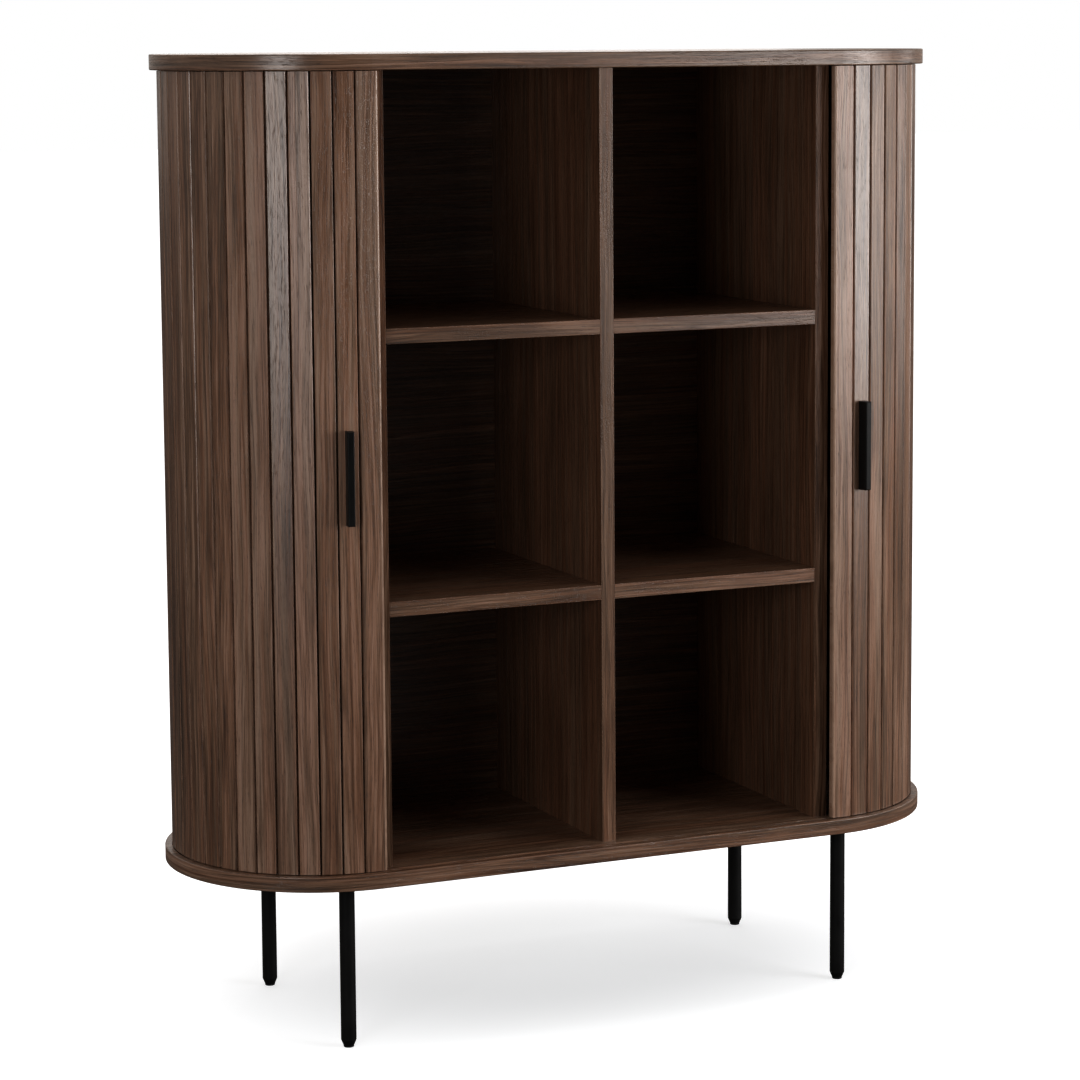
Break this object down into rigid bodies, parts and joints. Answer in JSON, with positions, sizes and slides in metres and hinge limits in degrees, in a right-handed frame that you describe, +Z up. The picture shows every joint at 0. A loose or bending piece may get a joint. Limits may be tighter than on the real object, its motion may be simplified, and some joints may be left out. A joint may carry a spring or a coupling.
{
  "type": "tambour highboard",
  "caption": "Walnut highboard with half-round ends, open cubes behind two sliding tambour doors, and round black legs.",
  "frame": {"origin": "on the floor under the middle of the cabinet", "axes": "+Z up, +X to the right of someone facing the front, +Y to the back"},
  "size_m": [1, 0.3932, 1.174],
  "materials": {
    "walnut_board": "satin lacquered walnut veneer, grain along the length",
    "walnut_panel": "satin lacquered walnut veneer",
    "walnut_slat": "satin lacquered walnut, upright grain",
    "black_leg": "matt black powder coat",
    "black_handle": "satin black powder coat",
    "glide": "moulded black plastic",
    "plated_steel": "bright zinc plate",
    "beech": "fluted bare beech",
    "backing_cloth": "dark woven cotton tape"
  },
  "bodies": {
    "carcass": {"top_panel": "walnut_board", "bottom_panel": "walnut_board", "left_side_panel": "walnut_panel", "right_side_panel": "walnut_panel", "centre_divider": "walnut_panel", "back_panel": "walnut_panel", "upper_left_shelf": "walnut_panel", "upper_right_shelf": "walnut_panel", "lower_left_shelf": "walnut_panel", "lower_right_shelf": "walnut_panel", "front_left_leg": "black_leg", "front_right_leg": "black_leg", "rear_left_leg": "black_leg", "rear_right_leg": "black_leg", "leg_glides": "glide", "leg_studs": "plated_steel", "dowels": "beech", "back_screws": "plated_steel"},
    "left_arc_slats": {"left_arc_slats": "walnut_slat"},
    "left_slat_01": {"left_slat_01": "walnut_slat"},
    "left_slat_02": {"left_slat_02": "walnut_slat", "left_handle": "black_handle", "left_handle_screws": "plated_steel"},
    "left_slat_03": {"left_slat_03": "walnut_slat"},
    "left_slat_04": {"left_slat_04": "walnut_slat"},
    "left_slat_05": {"left_slat_05": "walnut_slat"},
    "left_slat_06": {"left_slat_06": "walnut_slat"},
    "left_slat_07": {"left_slat_07": "walnut_slat"},
    "left_slat_08": {"left_slat_08": "walnut_slat"},
    "left_slat_09": {"left_slat_09": "walnut_slat"},
    "left_slat_10": {"left_slat_10": "walnut_slat"},
    "left_slat_11": {"left_slat_11": "walnut_slat"},
    "left_slat_12": {"left_slat_12": "walnut_slat"},
    "left_tail_slats_24": {"left_tail_slats_24": "walnut_slat"},
    "left_tail_slats_26": {"left_tail_slats_26": "walnut_slat"},
    "left_tail_slats_28": {"left_tail_slats_28": "walnut_slat"},
    "left_tail_slats_30": {"left_tail_slats_30": "walnut_slat"},
    "left_tail_slats_32": {"left_tail_slats_32": "walnut_slat"},
    "left_tail_slats_34": {"left_tail_slats_34": "walnut_slat"},
    "right_arc_slats": {"right_arc_slats": "walnut_slat"},
    "right_slat_01": {"right_slat_01": "walnut_slat"},
    "right_slat_02": {"right_slat_02": "walnut_slat", "right_handle": "black_handle", "right_handle_screws": "plated_steel"},
    "right_slat_03": {"right_slat_03": "walnut_slat"},
    "right_slat_04": {"right_slat_04": "walnut_slat"},
    "right_slat_05": {"right_slat_05": "walnut_slat"},
    "right_slat_06": {"right_slat_06": "walnut_slat"},
    "right_slat_07": {"right_slat_07": "walnut_slat"},
    "right_slat_08": {"right_slat_08": "walnut_slat"},
    "right_slat_09": {"right_slat_09": "walnut_slat"},
    "right_slat_10": {"right_slat_10": "walnut_slat"},
    "right_slat_11": {"right_slat_11": "walnut_slat"},
    "right_slat_12": {"right_slat_12": "walnut_slat"},
    "right_tail_slats_24": {"right_tail_slats_24": "walnut_slat"},
    "right_tail_slats_26": {"right_tail_slats_26": "walnut_slat"},
    "right_tail_slats_28": {"right_tail_slats_28": "walnut_slat"},
    "right_tail_slats_30": {"right_tail_slats_30": "walnut_slat"},
    "right_tail_slats_32": {"right_tail_slats_32": "walnut_slat"},
    "right_tail_slats_34": {"right_tail_slats_34": "walnut_slat"}
  },
  "joints": [
    {"name": "left_door_round_end", "type": "hinge", "parent": "carcass", "child": "left_arc_slats", "pos_m": [-0.305, 0, 0.688], "axis": [0, 0, 1], "range_deg": [0, 94.76]},
    {"name": "left_slat_01_slide", "type": "slide", "parent": "carcass", "child": "left_slat_01", "axis": [1, 0, 0], "range_m": [0, 0.29441]},
    {"name": "left_slat_02_swing", "type": "hinge", "parent": "carcass", "child": "left_slat_02", "pos_m": [-0.1727, 1.5768, 0.688], "axis": [0, 0, 1], "range_deg": [0, 9.59]},
    {"name": "left_slat_03_swing", "type": "hinge", "parent": "carcass", "child": "left_slat_03", "pos_m": [-0.1852, 0.77211, 0.688], "axis": [0, 0, 1], "range_deg": [0, 17.64]},
    {"name": "left_slat_04_swing", "type": "hinge", "parent": "carcass", "child": "left_slat_04", "pos_m": [-0.1977, 0.47064, 0.688], "axis": [0, 0, 1], "range_deg": [0, 25.69]},
    {"name": "left_slat_05_swing", "type": "hinge", "parent": "carcass", "child": "left_slat_05", "pos_m": [-0.2102, 0.31267, 0.688], "axis": [0, 0, 1], "range_deg": [0, 33.73]},
    {"name": "left_slat_06_swing", "type": "hinge", "parent": "carcass", "child": "left_slat_06", "pos_m": [-0.2227, 0.21563, 0.688], "axis": [0, 0, 1], "range_deg": [0, 41.78]},
    {"name": "left_slat_07_swing", "type": "hinge", "parent": "carcass", "child": "left_slat_07", "pos_m": [-0.2352, 0.15028, 0.688], "axis": [0, 0, 1], "range_deg": [0, 49.83]},
    {"name": "left_slat_08_swing", "type": "hinge", "parent": "carcass", "child": "left_slat_08", "pos_m": [-0.2477, 0.10364, 0.688], "axis": [0, 0, 1], "range_deg": [0, 57.88]},
    {"name": "left_slat_09_swing", "type": "hinge", "parent": "carcass", "child": "left_slat_09", "pos_m": [-0.2602, 0.06909, 0.688], "axis": [0, 0, 1], "range_deg": [0, 65.92]},
    {"name": "left_slat_10_swing", "type": "hinge", "parent": "carcass", "child": "left_slat_10", "pos_m": [-0.2727, 0.04289, 0.688], "axis": [0, 0, 1], "range_deg": [0, 73.97]},
    {"name": "left_slat_11_swing", "type": "hinge", "parent": "carcass", "child": "left_slat_11", "pos_m": [-0.2852, 0.02277, 0.688], "axis": [0, 0, 1], "range_deg": [0, 82.02]},
    {"name": "left_slat_12_swing", "type": "hinge", "parent": "carcass", "child": "left_slat_12", "pos_m": [-0.2977, 0.00729, 0.688], "axis": [0, 0, 1], "range_deg": [0, 90.06]},
    {"name": "left_tail_slats_24_swing", "type": "hinge", "parent": "carcass", "child": "left_tail_slats_24", "pos_m": [-0.28845, -0.01834, 0.688], "axis": [0, 0, 1], "range_deg": [0, 84.11]},
    {"name": "left_tail_slats_26_swing", "type": "hinge", "parent": "carcass", "child": "left_tail_slats_26", "pos_m": [-0.26345, -0.06158, 0.688], "axis": [0, 0, 1], "range_deg": [0, 68.02]},
    {"name": "left_tail_slats_28_swing", "type": "hinge", "parent": "carcass", "child": "left_tail_slats_28", "pos_m": [-0.23845, -0.13668, 0.688], "axis": [0, 0, 1], "range_deg": [0, 51.92]},
    {"name": "left_tail_slats_30_swing", "type": "hinge", "parent": "carcass", "child": "left_tail_slats_30", "pos_m": [-0.21345, -0.28321, 0.688], "axis": [0, 0, 1], "range_deg": [0, 35.83]},
    {"name": "left_tail_slats_32_swing", "type": "hinge", "parent": "carcass", "child": "left_tail_slats_32", "pos_m": [-0.18845, -0.67011, 0.688], "axis": [0, 0, 1], "range_deg": [0, 19.73]},
    {"name": "left_tail_slats_34_swing", "type": "hinge", "parent": "carcass", "child": "left_tail_slats_34", "pos_m": [-0.1697, -2.02046, 0.688], "axis": [0, 0, 1], "range_deg": [0, 7.66]},
    {"name": "right_door_round_end", "type": "hinge", "parent": "carcass", "child": "right_arc_slats", "pos_m": [0.305, 0, 0.688], "axis": [0, 0, -1], "range_deg": [0, 96.02]},
    {"name": "right_slat_01_slide", "type": "slide", "parent": "carcass", "child": "right_slat_01", "axis": [-1, 0, 0], "range_m": [0, 0.2983]},
    {"name": "right_slat_02_swing", "type": "hinge", "parent": "carcass", "child": "right_slat_02", "pos_m": [0.1727, 1.39341, 0.688], "axis": [0, 0, -1], "range_deg": [0, 10.85]},
    {"name": "right_slat_03_swing", "type": "hinge", "parent": "carcass", "child": "right_slat_03", "pos_m": [0.1852, 0.71996, 0.688], "axis": [0, 0, -1], "range_deg": [0, 18.89]},
    {"name": "right_slat_04_swing", "type": "hinge", "parent": "carcass", "child": "right_slat_04", "pos_m": [0.1977, 0.44794, 0.688], "axis": [0, 0, -1], "range_deg": [0, 26.94]},
    {"name": "right_slat_05_swing", "type": "hinge", "parent": "carcass", "child": "right_slat_05", "pos_m": [0.2102, 0.30077, 0.688], "axis": [0, 0, -1], "range_deg": [0, 34.99]},
    {"name": "right_slat_06_swing", "type": "hinge", "parent": "carcass", "child": "right_slat_06", "pos_m": [0.2227, 0.20874, 0.688], "axis": [0, 0, -1], "range_deg": [0, 43.04]},
    {"name": "right_slat_07_swing", "type": "hinge", "parent": "carcass", "child": "right_slat_07", "pos_m": [0.2352, 0.14607, 0.688], "axis": [0, 0, -1], "range_deg": [0, 51.08]},
    {"name": "right_slat_08_swing", "type": "hinge", "parent": "carcass", "child": "right_slat_08", "pos_m": [0.2477, 0.10101, 0.688], "axis": [0, 0, -1], "range_deg": [0, 59.13]},
    {"name": "right_slat_09_swing", "type": "hinge", "parent": "carcass", "child": "right_slat_09", "pos_m": [0.2602, 0.06746, 0.688], "axis": [0, 0, -1], "range_deg": [0, 67.18]},
    {"name": "right_slat_10_swing", "type": "hinge", "parent": "carcass", "child": "right_slat_10", "pos_m": [0.2727, 0.04192, 0.688], "axis": [0, 0, -1], "range_deg": [0, 75.22]},
    {"name": "right_slat_11_swing", "type": "hinge", "parent": "carcass", "child": "right_slat_11", "pos_m": [0.2852, 0.02227, 0.688], "axis": [0, 0, -1], "range_deg": [0, 83.27]},
    {"name": "right_slat_12_swing", "type": "hinge", "parent": "carcass", "child": "right_slat_12", "pos_m": [0.2977, 0.00713, 0.688], "axis": [0, 0, -1], "range_deg": [0, 91.32]},
    {"name": "right_tail_slats_24_swing", "type": "hinge", "parent": "carcass", "child": "right_tail_slats_24", "pos_m": [0.2865, -0.0205, 0.688], "axis": [0, 0, -1], "range_deg": [0, 84.11]},
    {"name": "right_tail_slats_26_swing", "type": "hinge", "parent": "carcass", "child": "right_tail_slats_26", "pos_m": [0.2615, -0.06447, 0.688], "axis": [0, 0, -1], "range_deg": [0, 68.02]},
    {"name": "right_tail_slats_28_swing", "type": "hinge", "parent": "carcass", "child": "right_tail_slats_28", "pos_m": [0.2365, -0.14069, 0.688], "axis": [0, 0, -1], "range_deg": [0, 51.92]},
    {"name": "right_tail_slats_30_swing", "type": "hinge", "parent": "carcass", "child": "right_tail_slats_30", "pos_m": [0.2115, -0.28924, 0.688], "axis": [0, 0, -1], "range_deg": [0, 35.83]},
    {"name": "right_tail_slats_32_swing", "type": "hinge", "parent": "carcass", "child": "right_tail_slats_32", "pos_m": [0.1865, -0.68133, 0.688], "axis": [0, 0, -1], "range_deg": [0, 19.73]},
    {"name": "right_tail_slats_34_swing", "type": "hinge", "parent": "carcass", "child": "right_tail_slats_34", "pos_m": [0.16775, -2.0496, 0.688], "axis": [0, 0, -1], "range_deg": [0, 7.66]}
  ],
  "couplings": [
    {"joint": "left_slat_01_slide", "follows": "left_door_round_end", "m_per_rad": 0.178},
    {"joint": "left_slat_02_swing", "follows": "left_door_round_end", "ratio": 0.10122},
    {"joint": "left_slat_03_swing", "follows": "left_door_round_end", "ratio": 0.18614},
    {"joint": "left_slat_04_swing", "follows": "left_door_round_end", "ratio": 0.27106},
    {"joint": "left_slat_05_swing", "follows": "left_door_round_end", "ratio": 0.35598},
    {"joint": "left_slat_06_swing", "follows": "left_door_round_end", "ratio": 0.4409},
    {"joint": "left_slat_07_swing", "follows": "left_door_round_end", "ratio": 0.52581},
    {"joint": "left_slat_08_swing", "follows": "left_door_round_end", "ratio": 0.61073},
    {"joint": "left_slat_09_swing", "follows": "left_door_round_end", "ratio": 0.69565},
    {"joint": "left_slat_10_swing", "follows": "left_door_round_end", "ratio": 0.78057},
    {"joint": "left_slat_11_swing", "follows": "left_door_round_end", "ratio": 0.86549},
    {"joint": "left_slat_12_swing", "follows": "left_door_round_end", "ratio": 0.95041},
    {"joint": "left_tail_slats_24_swing", "follows": "left_door_round_end", "ratio": 0.88758},
    {"joint": "left_tail_slats_26_swing", "follows": "left_door_round_end", "ratio": 0.71774},
    {"joint": "left_tail_slats_28_swing", "follows": "left_door_round_end", "ratio": 0.54791},
    {"joint": "left_tail_slats_30_swing", "follows": "left_door_round_end", "ratio": 0.37807},
    {"joint": "left_tail_slats_32_swing", "follows": "left_door_round_end", "ratio": 0.20823},
    {"joint": "left_tail_slats_34_swing", "follows": "left_door_round_end", "ratio": 0.080855},
    {"joint": "right_slat_01_slide", "follows": "right_door_round_end", "m_per_rad": 0.178},
    {"joint": "right_slat_02_swing", "follows": "right_door_round_end", "ratio": 0.11297},
    {"joint": "right_slat_03_swing", "follows": "right_door_round_end", "ratio": 0.19678},
    {"joint": "right_slat_04_swing", "follows": "right_door_round_end", "ratio": 0.28059},
    {"joint": "right_slat_05_swing", "follows": "right_door_round_end", "ratio": 0.3644},
    {"joint": "right_slat_06_swing", "follows": "right_door_round_end", "ratio": 0.44821},
    {"joint": "right_slat_07_swing", "follows": "right_door_round_end", "ratio": 0.53201},
    {"joint": "right_slat_08_swing", "follows": "right_door_round_end", "ratio": 0.61582},
    {"joint": "right_slat_09_swing", "follows": "right_door_round_end", "ratio": 0.69963},
    {"joint": "right_slat_10_swing", "follows": "right_door_round_end", "ratio": 0.78344},
    {"joint": "right_slat_11_swing", "follows": "right_door_round_end", "ratio": 0.86725},
    {"joint": "right_slat_12_swing", "follows": "right_door_round_end", "ratio": 0.95106},
    {"joint": "right_tail_slats_24_swing", "follows": "right_door_round_end", "ratio": 0.87598},
    {"joint": "right_tail_slats_26_swing", "follows": "right_door_round_end", "ratio": 0.70836},
    {"joint": "right_tail_slats_28_swing", "follows": "right_door_round_end", "ratio": 0.54074},
    {"joint": "right_tail_slats_30_swing", "follows": "right_door_round_end", "ratio": 0.37313},
    {"joint": "right_tail_slats_32_swing", "follows": "right_door_round_end", "ratio": 0.20551},
    {"joint": "right_tail_slats_34_swing", "follows": "right_door_round_end", "ratio": 0.079797}
  ]
}
